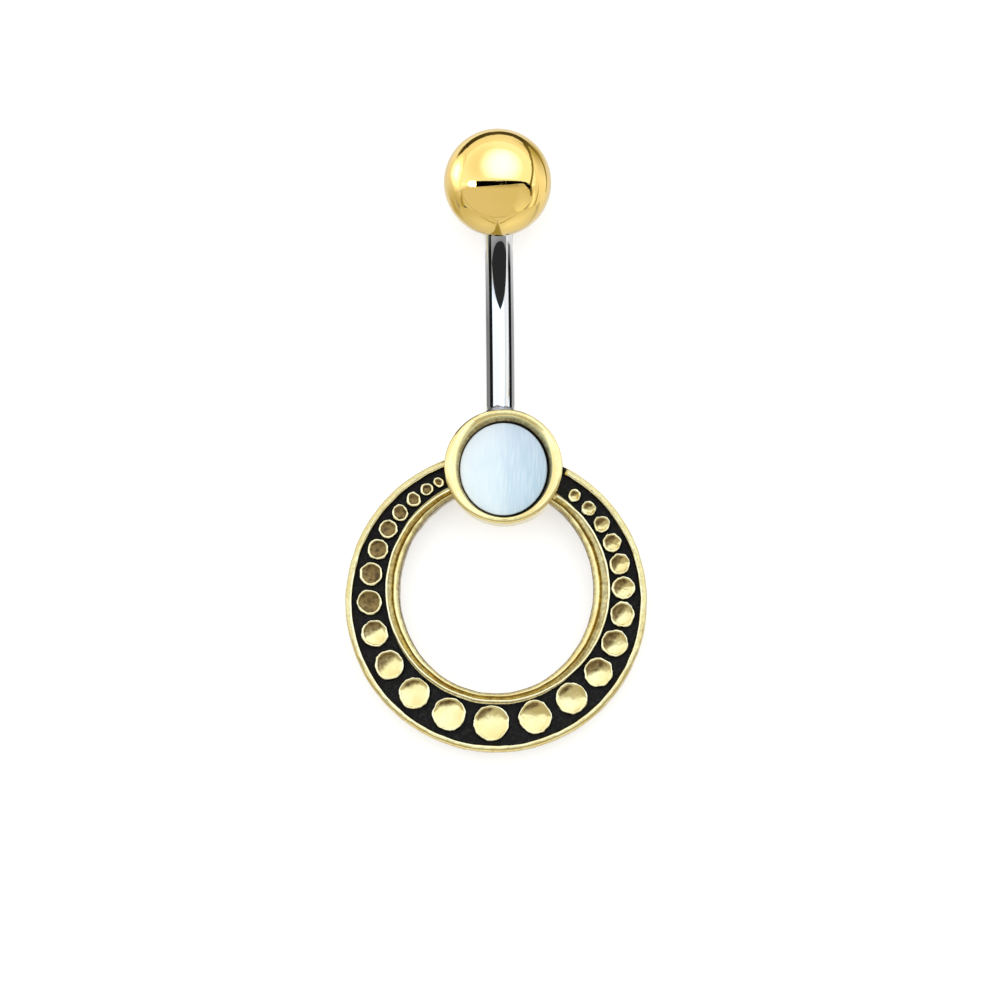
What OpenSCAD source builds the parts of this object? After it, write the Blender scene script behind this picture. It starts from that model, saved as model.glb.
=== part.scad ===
// A navel barbell, lying on its back with its face up.
// X runs across the hoop, Y from the hoop up to the ball, Z up from the surface it lies on.
// The origin is under the middle of the whole piece.

/* [Hoop] */
// Width across the hoop
hoop_d = 17.2; // [16.6:0.1:18]
// Thickness of the metal under the dots
web_t = 1.2; // [1:0.05:1.4]
// Height of the rims above the dark channel
rim_rise = 0.56; // [0.4:0.02:0.6]
// Width of the half-round outer rim
outer_rim_w = 0.38; // [0.3:0.02:0.44]
// Radius of the inner rim's crest
crest_r = 6.4; // [6.3:0.05:6.45]
// Width of the round bead along that crest
crest_w = 0.26; // [0.2:0.02:0.32]
// How far the inner rim is shifted towards the setting
crest_up = 0.65; // [0.5:0.05:0.8]
// Length of the opening, along the bar
opening_l = 11.9; // [11.4:0.1:12]
// Width of the opening and of the disc over their length
oval = 0.94; // [0.9:0.01:1]

/* [Dots] */
// Width of the dot at the foot of the hoop
dot_d = 2.06; // [1.8:0.02:2.1]
// How much each next dot is narrower
dot_step = 0.12; // [0.11:0.005:0.13]
// Number of dots up the left side of the hoop
dots_left = 12; // [6:1:12]
// Number of dots up its right side
dots_right = 11; // [6:1:12]
// Distance between two dots over their mean width
dot_pitch = 1.2; // [1.15:0.01:1.21]
// Height of the dots above the dark channel
dot_rise = 0.5; // [0.3:0.02:0.56]
// Depth of each dot's hollow over its width
dot_dish = 0.1; // [0.04:0.01:0.14]

/* [Setting] */
// Width of the round setting
setting_d = 6.7; // [6.6:0.05:6.9]
// Height of the setting's lip above the back of the hoop
setting_h = 2.7; // [2.6:0.05:3]
// Distance from the middle of the hoop to the middle of the setting
setting_up = 7.65; // [7.5:0.05:7.8]
// Length of the hollow at its lip
lip_l = 5.88; // [5.8:0.02:5.9]
// Depth of the disc's face below the lip
recess = 0.6; // [0.4:0.05:0.8]

/* [Disc] */
// Length of the disc, along the bar
disc_l = 5.3; // [5.2:0.02:5.4]
// Thickness of the disc
disc_t = 0.7; // [0.5:0.05:0.8]

/* [Bar] */
// Thickness of the bar
bar_d = 1.6; // [1.3:0.05:1.7]
// Radius that the bar is bent to, at its middle line
bend_r = 14.5; // [13:0.1:17]
// Height of the bar's foot above the back of the hoop
foot_z = 1.6; // [1.45:0.05:1.7]
// Width of the solder round the bar's foot
solder_d = 1.85; // [1.75:0.05:2.2]
// Height of that solder
solder_h = 0.4; // [0.3:0.05:0.6]
// Thickness of the stud that the ball screws on
stud_d = 1.2; // [0.8:0.05:1.2]
// Length of that stud
stud_l = 3.6; // [2.5:0.1:4]
// Angle that the bar leans to the left of the charm
lean = 2.8; // [0:0.1:4]

/* [Ball] */
// Width of the ball
ball_d = 6.15; // [5.6:0.05:6.6]

/* [Hidden] */
$fn = 96;

gold = "darkkhaki";
gap = 0.03;
clear_z = 0.06;
past = 1;

hoop_r = hoop_d / 2;
rim_z = web_t + rim_rise;
outer_rim_r = outer_rim_w / 2;
channel_r = hoop_r - outer_rim_w;

crest_z = rim_z - crest_w / 2;
cove_r = 0.22;
cove_at = crest_r - crest_w - cove_r / 2;
land_z = crest_z + 0.02;

setting_r = setting_d / 2;
lip_round = 0.16;
disc_z = setting_h - recess;
disc_gap = 0.06;

// The bar is an arc. Its lowest point clears the surface, so both its angles follow from heights.
low_z = bar_d / 2 + clear_z;
foot_y = setting_up + setting_r;
foot_a = acos(1 - (foot_z - low_z) / bend_r);
low_y = foot_y + bend_r * sin(foot_a);
ball_r = ball_d / 2;
ball_z = ball_r + clear_z;
mouth_r = bar_d / 2 + gap;
mouth_depth = 0.15;
seat = sqrt(ball_r ^ 2 - mouth_r ^ 2) - mouth_depth + gap;
tip_a = acos((bend_r + low_z - ball_z) / sqrt(bend_r ^ 2 + seat ^ 2)) - atan2(seat, bend_r);
ball_y = low_y + bend_r * sin(tip_a) + seat * cos(tip_a);
leaned_y = setting_up + (ball_y - setting_up) * cos(lean);
middle_y = (leaned_y + ball_r - hoop_r) / 2;

// Angles run round the hoop from its foot. The channel's middle lies between its two rims.
function crest_at(a) =
    let (along = -crest_up * cos(a))
    along + sqrt(crest_r ^ 2 - crest_up ^ 2 + along ^ 2);
function channel_mid(a) = (crest_at(a) + channel_r) / 2;
function dot_w(i) = dot_d - dot_step * i;
function dot_gap(i) = dot_pitch * (dot_w(i - 1) + dot_w(i)) / 2;
function dot_a(i) =
    i == 0 ? 0 :
    let (before = dot_a(i - 1))
    before + dot_gap(i) / channel_mid(before) * 180 / PI;

// Everything is drawn about the middle of the hoop, then moved to the origin.
module placed() {
    translate([0, -middle_y, 0]) children();
}

module at_setting(z = 0) {
    translate([0, setting_up, z]) children();
}

// The bar was soldered a little askew, so it and its ball are turned about the round setting.
module leaned() {
    at_setting() rotate([0, 0, lean]) translate([0, -setting_up, 0]) children();
}

module oval_post(l, h, tip_l = 0) {
    scale([oval, 1, 1]) cylinder(d1 = l, d2 = tip_l > 0 ? tip_l : l, h = h);
}

module outer_rim() {
    rotate_extrude() {
        translate([channel_r, 0]) square([outer_rim_w, rim_z - outer_rim_r]);
        translate([hoop_r - outer_rim_r, rim_z - outer_rim_r]) circle(r = outer_rim_r);
    }
}

module inner_rim() {
    bead_r = crest_w / 2;
    translate([0, crest_up, 0]) rotate_extrude() difference() {
        union() {
            square([crest_r - bead_r, land_z]);
            square([crest_r, crest_z]);
            translate([crest_r - bead_r, crest_z]) circle(r = bead_r);
        }
        translate([cove_at, land_z + cove_r / 2]) circle(r = cove_r);
    }
}

module opening() {
    translate([0, crest_up, -past]) oval_post(opening_l, rim_z + 2 * past);
}

// A raised round dot with a hollow top.
module dot(w) {
    rim = 0.42 * w;
    deep = dot_dish * w;
    ball = (rim ^ 2 + deep ^ 2) / (2 * deep);
    difference() {
        cylinder(d1 = 1.06 * w, d2 = w, h = dot_rise);
        translate([0, 0, dot_rise - deep + ball]) sphere(r = ball);
    }
}

module dot_at(i, side) {
    a = dot_a(i);
    r = channel_mid(a);
    translate([side * r * sin(a), -r * cos(a), web_t]) dot(dot_w(i));
}

module dots() {
    dot_at(0, 1);
    for (i = [1:dots_left]) dot_at(i, -1);
    for (i = [1:dots_right]) dot_at(i, 1);
}

module hoop() {
    difference() {
        union() {
            cylinder(r = hoop_r - outer_rim_r, h = web_t);
            outer_rim();
            inner_rim();
        }
        opening();
        at_setting(-past) cylinder(r = setting_r - 2 * lip_round, h = setting_h + 2 * past);
    }
    dots();
}

module setting() {
    difference() {
        at_setting() rotate_extrude() {
            square([setting_r, setting_h - lip_round]);
            square([setting_r - lip_round, setting_h]);
            translate([setting_r - lip_round, setting_h - lip_round]) circle(r = lip_round);
        }
        at_setting(disc_z - disc_t - gap) oval_post(disc_l + 2 * disc_gap, disc_t + gap);
        at_setting(disc_z) oval_post(disc_l + 2 * disc_gap, recess, lip_l);
    }
}

module hoop_and_setting() {
    color(gold) placed() {
        hoop();
        setting();
    }
}

module shell_disc() {
    color("lightblue") placed() at_setting(disc_z - disc_t) oval_post(disc_l, disc_t);
}

// Stands at an end of the bar, with Z along the bar and away from its middle.
module at_bar_end(a, side) {
    translate([0, low_y + side * bend_r * sin(a), low_z + bend_r * (1 - cos(a))])
        rotate([side * (a - 90), 0, 0]) children();
}

// The arc and the solder run on past the bar's foot, and the setting's round side cuts them to shape.
module curved_bar() {
    root_a = foot_a + 3;
    root_l = 0.6;
    narrow_d = bar_d - gap;
    wide_d = solder_d + (solder_d - narrow_d) * root_l / solder_h;
    color("silver") placed() leaned() {
        difference() {
            union() {
                translate([0, low_y, low_z + bend_r]) rotate([0, 90, 0])
                    rotate([0, 0, -root_a]) rotate_extrude(angle = root_a + tip_a)
                        translate([bend_r, 0]) circle(d = bar_d);
                at_bar_end(foot_a, -1) translate([0, 0, -solder_h])
                    cylinder(d1 = narrow_d, d2 = wide_d, h = solder_h + root_l);
            }
            at_setting(-past) cylinder(r = setting_r + gap, h = setting_h + 2 * past);
        }
        at_bar_end(tip_a, 1) translate([0, 0, -gap]) cylinder(d = stud_d, h = stud_l + gap);
    }
}

module top_ball() {
    color("gold") placed() leaned() at_bar_end(tip_a, 1) difference() {
        translate([0, 0, seat]) sphere(r = ball_r);
        translate([0, 0, -past]) cylinder(r = mouth_r, h = past + gap);
        cylinder(r = stud_d / 2 + gap, h = stud_l + 4 * gap);
    }
}

hoop_and_setting();
shell_disc();
curved_bar();
top_ball();
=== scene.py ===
# %% [markdown]
# # A navel ring in Blender
# The object is 36 mm long. A curved steel bar carries a polished gold ball that screws on at one end and a
# cast charm that is soldered on at the other. The charm is an open hoop with two rims, a blackened channel
# with a row of hollow-topped dots, and a round setting that holds a disc of shell. The CAD model is the
# frame: it fixes every size and place. This file dresses it, one cell for each piece.

# %% The frame
from math import acos, asin, atan2, cos, degrees, hypot, pi, radians, sin, sqrt, tan, tau

import bpy
from mathutils import Matrix, Vector
from numpy import interp


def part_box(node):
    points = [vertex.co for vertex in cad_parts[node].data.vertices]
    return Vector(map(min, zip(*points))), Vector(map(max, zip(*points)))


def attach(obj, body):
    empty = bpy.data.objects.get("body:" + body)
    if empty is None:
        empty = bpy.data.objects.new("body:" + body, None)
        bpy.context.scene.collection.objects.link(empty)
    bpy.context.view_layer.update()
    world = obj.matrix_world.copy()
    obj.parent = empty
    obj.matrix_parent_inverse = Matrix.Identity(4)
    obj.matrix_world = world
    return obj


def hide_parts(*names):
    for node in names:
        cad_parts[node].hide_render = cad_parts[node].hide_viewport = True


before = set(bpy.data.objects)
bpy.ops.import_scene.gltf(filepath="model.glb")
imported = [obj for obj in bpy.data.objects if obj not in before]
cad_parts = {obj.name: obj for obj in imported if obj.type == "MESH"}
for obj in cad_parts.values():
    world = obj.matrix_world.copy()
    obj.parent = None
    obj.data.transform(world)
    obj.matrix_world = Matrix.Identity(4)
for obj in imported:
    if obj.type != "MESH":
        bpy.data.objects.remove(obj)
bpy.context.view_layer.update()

MM = 0.001

# %% [markdown]
# ## The sizes that the pieces share
# Blender works in metres and a jeweller in millimetres, so the sizes are written in millimetres and turned
# into metres where a mesh is made. The places that the CAD model already knows are read from its boxes,
# because a number that is read can't drift away from the frame.

# %% Sizes, in millimetres
hoop_low, hoop_high = [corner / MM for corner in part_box("hoop_and_setting")]
disc_low, disc_high = [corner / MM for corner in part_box("shell_disc")]
ball_low, ball_high = [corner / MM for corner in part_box("top_ball")]

HOOP_R = (hoop_high.x - hoop_low.x) / 2
HOOP_Y = hoop_low.y + HOOP_R
SETTING_R = 3.35
SETTING_Y = hoop_high.y - SETTING_R
LIP_Z = hoop_high.z
WEB_Z = 1.2
RIM_Z = 1.76
BAR_R = 0.8
BALL_R = (ball_high.x - ball_low.x) / 2
ball_middle = (ball_low + ball_high) / 2
print("hoop radius", round(HOOP_R, 3), "hoop centre", round(HOOP_Y, 3), "setting centre", round(SETTING_Y, 3))

# %% [markdown]
# ## The camera
# The photograph looks almost straight down on the piece, from a little below its middle and a little to the
# right, through a long lens that shows hardly any perspective. One rig says all of that: it starts above
# the point that lies in the middle of the picture, and then turns about that point.

# %% The camera
PHOTO_WIDE, PIXELS_PER_MM = 1000, 17.5
CAMERA_DISTANCE = 240
SENSOR = 36.0
aim = Vector((0.0, -3.36, 1.5))
to_the_right, from_below, roll = radians(1.5), radians(4.5), radians(2.2)


def placed(name, data):
    """An object with this data, in the scene."""
    made = bpy.data.objects.new(name, data)
    bpy.context.scene.collection.objects.link(made)
    return made


camera_data = bpy.data.cameras.new("camera")
camera = placed("camera", camera_data)
camera_data.sensor_width = SENSOR
camera_data.lens = SENSOR * CAMERA_DISTANCE / (PHOTO_WIDE / PIXELS_PER_MM)
camera_data.clip_start, camera_data.clip_end = 0.01, 10
camera.matrix_world = (
    Matrix.Translation(aim * MM)
    @ Matrix.Rotation(to_the_right, 4, "Y")
    @ Matrix.Rotation(from_below, 4, "X")
    @ Matrix.Rotation(roll, 4, "Z")
    @ Matrix.Translation((0, 0, CAMERA_DISTANCE * MM))
)
bpy.context.scene.camera = camera
print("lens", round(camera_data.lens, 1), "mm at", CAMERA_DISTANCE, "mm")

# %% [markdown]
# ## Small helpers for node trees
# Materials and Geometry Nodes are both trees of nodes. Written out one call at a time they fill pages, so
# one helper adds a node and fills its inputs: what comes out of another node is linked, a plain value is
# set.


# %% Helpers for node trees
def fill(made, inputs):
    """Fills a node's inputs by name or number: a Value is linked and anything else is set."""
    for name, entry in inputs.items():
        if isinstance(entry, Value):
            entry.tree.links.new(entry.socket, made.inputs[name])
        else:
            made.inputs[name].default_value = entry


def add(tree, kind, inputs={}, **options):
    """Adds a node with these options and inputs."""
    made = tree.nodes.new(kind)
    for name, option in options.items():
        setattr(made, name, option)
    fill(made, inputs)
    return made


def node(tree, kind, inputs={}, output=0, **options):
    """Adds a node and gives what comes out of it."""
    return Value(add(tree, kind, inputs, **options).outputs[output])


print("helpers for nodes:", [helper.__name__ for helper in (fill, add, node)])

# %% [markdown]
# ## Arithmetic with nodes
# What comes out of a node is used like a number. Each plus, minus, times and divide adds the Math node for
# that step, so a formula here still reads as a formula. The other steps are functions.


# %% Arithmetic with nodes
class Value:
    """What comes out of a node. Arithmetic on it adds the Math node for that step."""

    def __init__(self, socket):
        self.socket, self.tree = socket, socket.id_data

    def __add__(self, other):
        return calc("ADD", self, other)

    def __sub__(self, other):
        return calc("SUBTRACT", self, other)

    def __rsub__(self, other):
        return calc("SUBTRACT", other, self)

    def __mul__(self, other):
        return calc("MULTIPLY", self, other)

    def __truediv__(self, other):
        return calc("DIVIDE", self, other)


def tree_of(entries):
    """The tree that the first Value among these belongs to."""
    return next(entry.tree for entry in entries if isinstance(entry, Value))


def calc(operation, *entries):
    """One step of arithmetic on numbers."""
    return node(tree_of(entries), "ShaderNodeMath", dict(enumerate(entries)), operation=operation)


def vector_calc(operation, *entries, **named):
    """One step of arithmetic on vectors."""
    output = "Value" if operation == "DOT_PRODUCT" else "Vector"
    return node(tree_of(entries), "ShaderNodeVectorMath", {**dict(enumerate(entries)), **named}, output,
                operation=operation)


def parts(vector):
    """The x, y and z of a vector."""
    return [Value(socket) for socket in add(vector.tree, "ShaderNodeSeparateXYZ", {0: vector}).outputs]


def joined(x, y, z=0.0):
    """The vector of an x, a y and a z."""
    return node(tree_of((x, y, z)), "ShaderNodeCombineXYZ", {0: x, 1: y, 2: z})


def between(a, b, share):
    """The number that lies that share of the way from a to b."""
    return calc("MULTIPLY_ADD", b - a, share, a)


def fade(value, start, end):
    """0 before start, 1 after end and a smooth change in between."""
    return node(value.tree, "ShaderNodeMapRange", {"Value": value, "From Min": start, "From Max": end},
                interpolation_type="SMOOTHSTEP")


print("steps of arithmetic:", [step.__name__ for step in (calc, vector_calc, parts, joined, between, fade)])

# %% [markdown]
# ## Helpers for Geometry Nodes
# A piece is grown by a Geometry Nodes tree with named inputs, so one tree can make several pieces. The tree
# runs on a small mesh whose points carry named values, and what it makes is kept as a plain mesh.


# %% Helpers for Geometry Nodes
def new_tree(name, inputs):
    """A Geometry Nodes tree with these inputs, {kind: names}, and the values that come in by them."""
    tree = bpy.data.node_groups.new(name, "GeometryNodeTree")
    titles = {"Geometry": "Geometry", **{title: kind for kind, names in inputs.items() for title in names}}
    for title, kind in titles.items():
        tree.interface.new_socket(title, in_out="INPUT", socket_type="NodeSocket" + kind)
    tree.interface.new_socket("Geometry", in_out="OUTPUT", socket_type="NodeSocketGeometry")
    sockets = tree.nodes.new("NodeGroupInput").outputs
    return tree, {title: Value(sockets[title]) for title in titles}


def position(tree):
    """Where each point is."""
    return node(tree, "GeometryNodeInputPosition")


def stored(tree, title, kind="FLOAT"):
    """The value that each point carries under that name."""
    return node(tree, "GeometryNodeInputNamedAttribute", {"Name": title}, "Attribute", data_type=kind)


def storing(shape, title, number):
    """Lets each point carry a number under that name."""
    return node(shape.tree, "GeometryNodeStoreNamedAttribute",
                {"Geometry": shape, "Name": title, "Value": number}, data_type="FLOAT", domain="POINT")


def moved(shape, **inputs):
    """Moves the points to a Position or by an Offset."""
    return node(shape.tree, "GeometryNodeSetPosition", {"Geometry": shape, **inputs})


def merged(shape):
    """Joins the points that fall together."""
    return node(shape.tree, "GeometryNodeMergeByDistance", {"Geometry": shape, "Distance": MM / 1000})


def wavered(shape, amount, size, seed, ways=(1, 1, 1)):
    """Moves the points a little, in slow waves, as on a hand-finished casting."""
    waves = node(shape.tree, "ShaderNodeTexNoise", {
        "Vector": position(shape.tree), "W": seed, "Scale": calc("DIVIDE", 1.0, size), "Detail": 1.0},
        "Color", noise_dimensions="4D")
    centred = vector_calc("MULTIPLY", vector_calc("SUBTRACT", waves, (0.5, 0.5, 0.5)), ways)
    return moved(shape, Offset=vector_calc("SCALE", centred, Scale=amount))


def close_tree(shape, material):
    """Every tree ends smooth, with real geometry in place of instances, and with its material."""
    tree = shape.tree
    shape = node(tree, "GeometryNodeSetShadeSmooth", {"Geometry": shape})
    shape = node(tree, "GeometryNodeRealizeInstances", {"Geometry": shape})
    shape = node(tree, "GeometryNodeSetMaterial", {"Geometry": shape, "Material": material})
    add(tree, "NodeGroupOutput", {"Geometry": shape})
    return tree


def grown(name, mesh, tree, values, sharp=40):
    """Runs a tree on a mesh with these input values and keeps the result as a plain mesh object."""
    seed = placed(name + "_seed", mesh)
    modifier = seed.modifiers.new(tree.name, "NODES")
    modifier.node_group = tree
    sockets = {s.name: s.identifier for s in tree.interface.items_tree if s.in_out == "INPUT"}
    for title, value in values.items():
        modifier[sockets[title]] = value
    ready = seed.evaluated_get(bpy.context.evaluated_depsgraph_get())
    made = bpy.data.meshes.new_from_object(ready)
    seed.modifiers.clear()
    bpy.data.objects.remove(seed)
    made.name = name
    made.set_sharp_from_angle(angle=radians(sharp))
    print(name, len(made.vertices), "vertices", len(made.polygons), "faces")
    return placed(name, made)


print("steps of geometry:", [step.__name__ for step in (stored, storing, moved, merged, wavered)])

# %% [markdown]
# ## Reading a surface in a material
# Every pattern here reads Object coordinates. They are metres from the origin of the frame, so a pattern
# keeps its real size on every piece and never slides when the camera moves. A size in millimetres becomes
# the scale of a noise, and a stretch makes the grain of a thing that was drawn, rubbed or grown in one
# direction.


# %% Helpers for materials
def noise(tree, size, detail=3.0, stretch=(1, 1, 1), rough=0.5):
    """Noise from 0 to 1 with lumps of about that size in millimetres."""
    place = node(tree, "ShaderNodeTexCoord", output="Object")
    stretched = node(tree, "ShaderNodeMapping", {"Vector": place, "Scale": [1 / s for s in stretch]})
    return node(tree, "ShaderNodeTexNoise", {
        "Vector": stretched, "Scale": 1 / (size * MM), "Detail": detail, "Roughness": rough}, "Fac")


def mixed(share, a, b):
    """One colour fading into another. A colour is a Value or a plain (red, green, blue)."""
    a, b = [(*c, 1) if isinstance(c, tuple) else c for c in (a, b)]
    return node(share.tree, "ShaderNodeMix", {0: share, 6: a, 7: b}, 2, data_type="RGBA")


def bumped(height, depth, **under):
    """Makes a height from 0 to 1 into relief of that depth in millimetres. Normal is a relief under it."""
    return node(height.tree, "ShaderNodeBump", {
        "Height": height, "Distance": depth * MM, "Strength": 1.0, **under})


def new_material(name, **plain):
    """A material, its tree and its shader, with plain values set on the shader's own sockets."""
    made = bpy.data.materials.new(name)
    made.use_nodes = True
    shader = made.node_tree.nodes["Principled BSDF"]
    fill(shader, {title.replace("_", " "): setting for title, setting in plain.items()})
    return made, made.node_tree, shader


print("steps of a material:", [step.__name__ for step in (noise, mixed, bumped)])

# %% [markdown]
# ## Antique gold
# The charm is plated in a pale gold and dipped in a black patina. The top is then polished, so the black
# stays only where the mop can't reach: on the floor of the channel and up its walls. One material does
# both. The mesh carries a value called dark, 0 on polished metal and 1 in the channel, and noise moves the
# line where one gives way to the other. Small values of dark give a deeper gold, which is painted shade on
# walls, coves and edges, and values below 0 give a nearly white gold, which is a painted highlight along
# edges.

# %% Antique gold
antique_gold, tree, shader = new_material("antique_gold")
dark = node(tree, "ShaderNodeAttribute", output="Fac", attribute_name="dark")
wander = noise(tree, 0.3, 4) - 0.5
patina = fade(wander * 0.5 + dark, 0.42, 0.56)

streaks = noise(tree, 0.2, 2, (1, 1, 8)) - 0.5
specks = fade(noise(tree, 0.13, 2), 0.71, 0.78) * 0.3
# Where dark is a little above 0 the gold turns a deeper brown, streaked one way: painted shade. The random
# specks of brown in it are the metal's own.
groove = fade(streaks * (dark * 1.1) + dark + specks, 0.02, 0.36)

cloud = fade(noise(tree, 1.6, 3), 0.35, 0.65)
pale = mixed(cloud, (0.97, 0.84, 0.42), (0.90, 0.73, 0.31))
# Where dark is below 0 the gold turns nearly white: a painted highlight.
painted_highlight = fade(wander * 0.12 + dark, -0.02, -0.10)
brown = mixed(fade(noise(tree, 0.3, 3), 0.4, 0.65), (0.27, 0.18, 0.065), (0.15, 0.095, 0.035))
gold = mixed(groove, mixed(painted_highlight, pale, (1.0, 0.93, 0.60)), brown)

mottle = fade(noise(tree, 0.22, 5, rough=0.7), 0.45, 0.68)
grey = mixed(fade(noise(tree, 0.5, 2), 0.4, 0.6), (0.030, 0.022, 0.026), (0.030, 0.036, 0.028))
black = mixed(mottle, (0.006, 0.0045, 0.003), grey)

polish = between(0.09, 0.20, fade(noise(tree, 0.6, 4), 0.35, 0.65))
soft_relief = bumped(noise(tree, 0.5, 2), 0.004)
grain = noise(tree, 0.1, 4) * calc("MAXIMUM", patina, groove * 0.25)
fill(shader, {
    "Base Color": mixed(patina, gold, black),
    "Metallic": 1 - patina,
    "Specular IOR Level": between(0.5, 0.16, patina),
    "Roughness": between(between(polish, 0.36, groove), between(0.40, 0.60, mottle), patina),
    "Normal": bumped(grain, 0.03, Normal=soft_relief)})
print(antique_gold.name, len(tree.nodes), "nodes")

# %% [markdown]
# ## The bright gold of the ball
# The ball is plated in a richer yellow gold and polished like a mirror, so it needs hardly any texture.
# What keeps it from looking like a perfect sphere are fine hairlines from handling. They change the gloss a
# little, not the colour.

# %% Ball gold
ball_gold, tree, shader = new_material("ball_gold", Metallic=1.0)
cloud = fade(noise(tree, 3.0, 2), 0.35, 0.65)
hairlines = calc("MAXIMUM", fade(noise(tree, 0.05, 2, (14, 1, 5)), 0.60, 0.75),
                 fade(noise(tree, 0.05, 2, (2, 12, 6)), 0.62, 0.78))
fill(shader, {
    "Base Color": mixed(cloud, (0.92, 0.67, 0.22), (0.89, 0.64, 0.19)),
    "Roughness": between(0.035, 0.13, hairlines),
    "Normal": bumped(hairlines, 0.0006)})
print(ball_gold.name, len(tree.nodes), "nodes")

# %% [markdown]
# ## Steel and solder
# The bar is drawn wire of surgical steel, buffed along its length, so its faint marks run along it. The
# ring of solder at its foot is the same grey but dull and lumpy, because nobody can polish into that
# corner.

# %% Steel and solder
steel, tree, shader = new_material("steel", Metallic=1.0)
drawn = noise(tree, 0.035, 3, (1, 40, 1))
fill(shader, {
    "Base Color": mixed(drawn, (0.84, 0.84, 0.85), (0.90, 0.90, 0.91)),
    "Roughness": between(0.03, 0.10, fade(drawn, 0.45, 0.75)),
    "Normal": bumped(noise(tree, 0.9, 1, (1, 3, 1)), 0.003)})
print(steel.name, len(tree.nodes), "nodes")

solder, tree, shader = new_material("solder", Metallic=1.0)
lumps = noise(tree, 0.14, 4)
fill(shader, {
    "Base Color": mixed(lumps, (0.22, 0.22, 0.23), (0.65, 0.65, 0.67)),
    "Roughness": between(0.22, 0.5, lumps),
    "Normal": bumped(lumps, 0.03)})
print(solder.name, len(tree.nodes), "nodes")

# %% [markdown]
# ## Mother of pearl
# The disc is cut from the inside of a shell. Its layers meet the surface at a low angle, which gives faint
# streaks that all run one way. Its colour goes from a cool white on the left to a darker pale blue on the
# right, with a breath of lilac at the top. Two noises stretched along the disc make the streaks, a slow one
# makes the change from left to right wander, and a thin clear coat the polish on top.

# %% Mother of pearl
shell, tree, shader = new_material("mother_of_pearl", Roughness=0.28, Coat_Weight=0.7, Coat_Roughness=0.06)
x, y, _ = parts(node(tree, "ShaderNodeTexCoord", output="Object"))
drift = (noise(tree, 0.8, 3, (1, 3, 1)) - 0.5) * (2.6 * MM) + x
blue = mixed(fade(drift, -2.4 * MM, 1.8 * MM), (0.85, 0.96, 0.99), (0.47, 0.64, 0.76))
lilac = fade(y, (SETTING_Y - 0.5) * MM, (SETTING_Y + 2.6) * MM) * 0.3
tinted = mixed(lilac, blue, (0.76, 0.80, 0.96))
streaks = noise(tree, 0.11, 4, (1, 14, 1))
fill(shader, {
    "Base Color": mixed(fade(streaks, 0.4, 0.7) * 0.35, tinted, (0.84, 0.94, 0.98)),
    "Normal": bumped(streaks, 0.002)})
print(shell.name, len(tree.nodes), "nodes")

# %% [markdown]
# ## A section, and a tree that carries it round
# Nearly every piece here is a ring: the hoop, the setting, the disc, the ball. A jeweller thinks of such a
# piece as a section, the shape of its cut face, and of the path that it follows. So does this file. A
# section is a row of corners with a rounding at each. A corner names the ring that it follows, how far it
# stands outside that ring, and its height. The rings are ellipses, so the hoop's inner rim can be thick at
# its sides and thin at its foot although it has one section all the way round.


# %% Sections
ARC_STEPS = 5
SUPPORT = 0.3


def rounded(before, corner, after, rounding):
    """The points that round off one corner, with a support point on each side to keep the flats flat."""
    back, on = (before - corner).normalized(), (after - corner).normalized()
    half = back.angle(on) / 2
    reach = rounding / tan(half)
    middle = corner + (back + on).normalized() * rounding / sin(half)
    first, last = corner + back * reach - middle, corner + on * reach - middle
    turn = first.angle(last)
    points = [corner + back * (reach + SUPPORT * rounding)]
    for step in range(ARC_STEPS + 1):
        share = step / ARC_STEPS
        spoke = (first * sin((1 - share) * turn) + last * sin(share * turn)) / sin(turn)
        points.append(middle + spoke)
    return points + [corner + on * (reach + SUPPORT * rounding)]


def section(name, corners, radii, closed):
    """A mesh of points from corners (ring, out, height, rounding, dark). radii are the rings' usual sizes."""
    usual = []
    for ring, *_ in corners:
        whole = min(int(ring), len(radii) - 2)
        usual.append(radii[whole] + (radii[whole + 1] - radii[whole]) * (ring - whole))
    flat = [Vector((radius + out, height)) for radius, (_, out, height, _, _) in zip(usual, corners)]
    rows = []
    for i, (ring, _, _, rounding, dark) in enumerate(corners):
        points = [flat[i]]
        if rounding:
            points = rounded(flat[i - 1], flat[i], flat[(i + 1) % len(flat)], rounding)
        rows += [((point.x - usual[i]) * MM, point.y * MM, ring, dark) for point in points]
    if closed:
        rows.append(rows[0])
    mesh = bpy.data.meshes.new(name)
    mesh.from_pydata([(out, 0, height) for out, height, _, _ in rows], [], [])
    for title, k in (("ring", 2), ("dark", 3)):
        mesh.attributes.new(title, "FLOAT", "POINT").data.foreach_set("value", [row[k] for row in rows])
    return mesh


print("a rounded corner has", ARC_STEPS + 3, "points")

# %% [markdown]
# The tree lays out a grid with one column for each step round and one row for each point of the section. It
# looks up the point for each row, works out where its ring runs at that column's angle, and puts it there.
# Merging the points that fall together closes the seam and the poles. One more rule is the hoop's own: on
# the right its rims stop short of the setting, and there the tree lowers them to the floor of the channel.


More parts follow.
